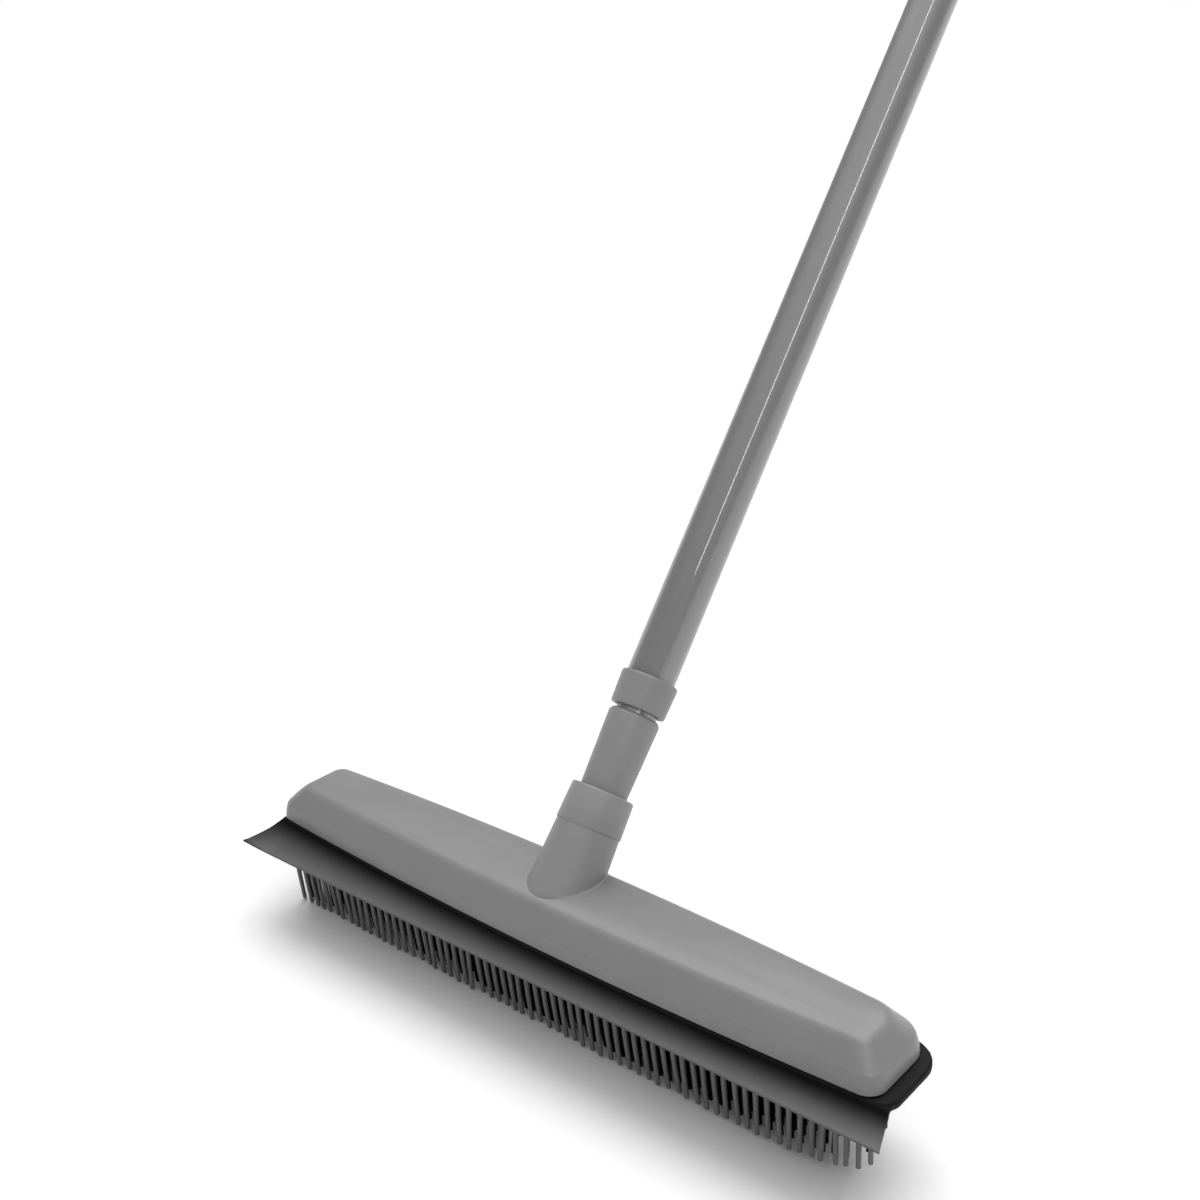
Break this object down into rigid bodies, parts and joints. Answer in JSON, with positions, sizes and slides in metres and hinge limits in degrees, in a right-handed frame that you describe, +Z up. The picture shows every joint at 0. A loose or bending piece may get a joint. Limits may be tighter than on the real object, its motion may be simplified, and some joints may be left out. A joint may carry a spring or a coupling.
{
  "type": "rubber carpet broom",
  "caption": "Carpet broom: long bowed plastic head with a rubber bristle block and flared squeegee skirt, on a leaning telescopic pole with a twist lock and a hanging eye.",
  "frame": {"origin": "centre of the flat tip of the middle bristle, on the floor, at mid-length and mid-width of the head", "axes": "+X along the head, +Y away from the squeegee side (the pole leans that way), +Z up"},
  "size_m": [0.341, 0.5314, 0.652],
  "materials": {
    "grey_plastic": "semi-gloss moulded, neutral grey",
    "dark_plastic": "matte",
    "lock_plastic": "matte",
    "grip_plastic": "matte, grooved",
    "black_rubber": "satin",
    "coated_steel": "satin grey coat",
    "plated_steel": "bright"
  },
  "bodies": {
    "head": {"head_casing": "grey_plastic", "carrier_plate": "dark_plastic", "carrier_screw_1": "plated_steel", "carrier_screw_2": "plated_steel", "carrier_screw_3": "plated_steel", "carrier_screw_4": "plated_steel", "carrier_screw_5": "plated_steel", "carrier_screw_6": "plated_steel", "carrier_screw_7": "plated_steel", "carrier_screw_8": "plated_steel", "rubber_block": "black_rubber"},
    "lower_pole": {"adaptor": "grey_plastic", "inner_tube": "plated_steel", "spindle_plug": "dark_plastic", "stop_screw": "plated_steel"},
    "lock_expander": {"lock_cone": "dark_plastic", "lock_sleeve": "lock_plastic"},
    "outer_pole": {"outer_tube": "coated_steel", "collar": "grey_plastic", "grip_sleeve": "grip_plastic", "end_cap": "grey_plastic"}
  },
  "joints": [
    {"name": "pole_release", "type": "slide", "parent": "head", "child": "lower_pole", "axis": [0, 0.6361, 0.7716], "range_m": [0, 0.06]},
    {"name": "twist_lock", "type": "hinge", "parent": "lower_pole", "child": "lock_expander", "pos_m": [0, 0.41152, 0.5533], "axis": [0, 0.6361, 0.7716], "range_deg": [0, 180]},
    {"name": "telescope", "type": "slide", "parent": "lock_expander", "child": "outer_pole", "axis": [0, 0.6361, 0.7716], "range_m": [0, 0.45]}
  ]
}
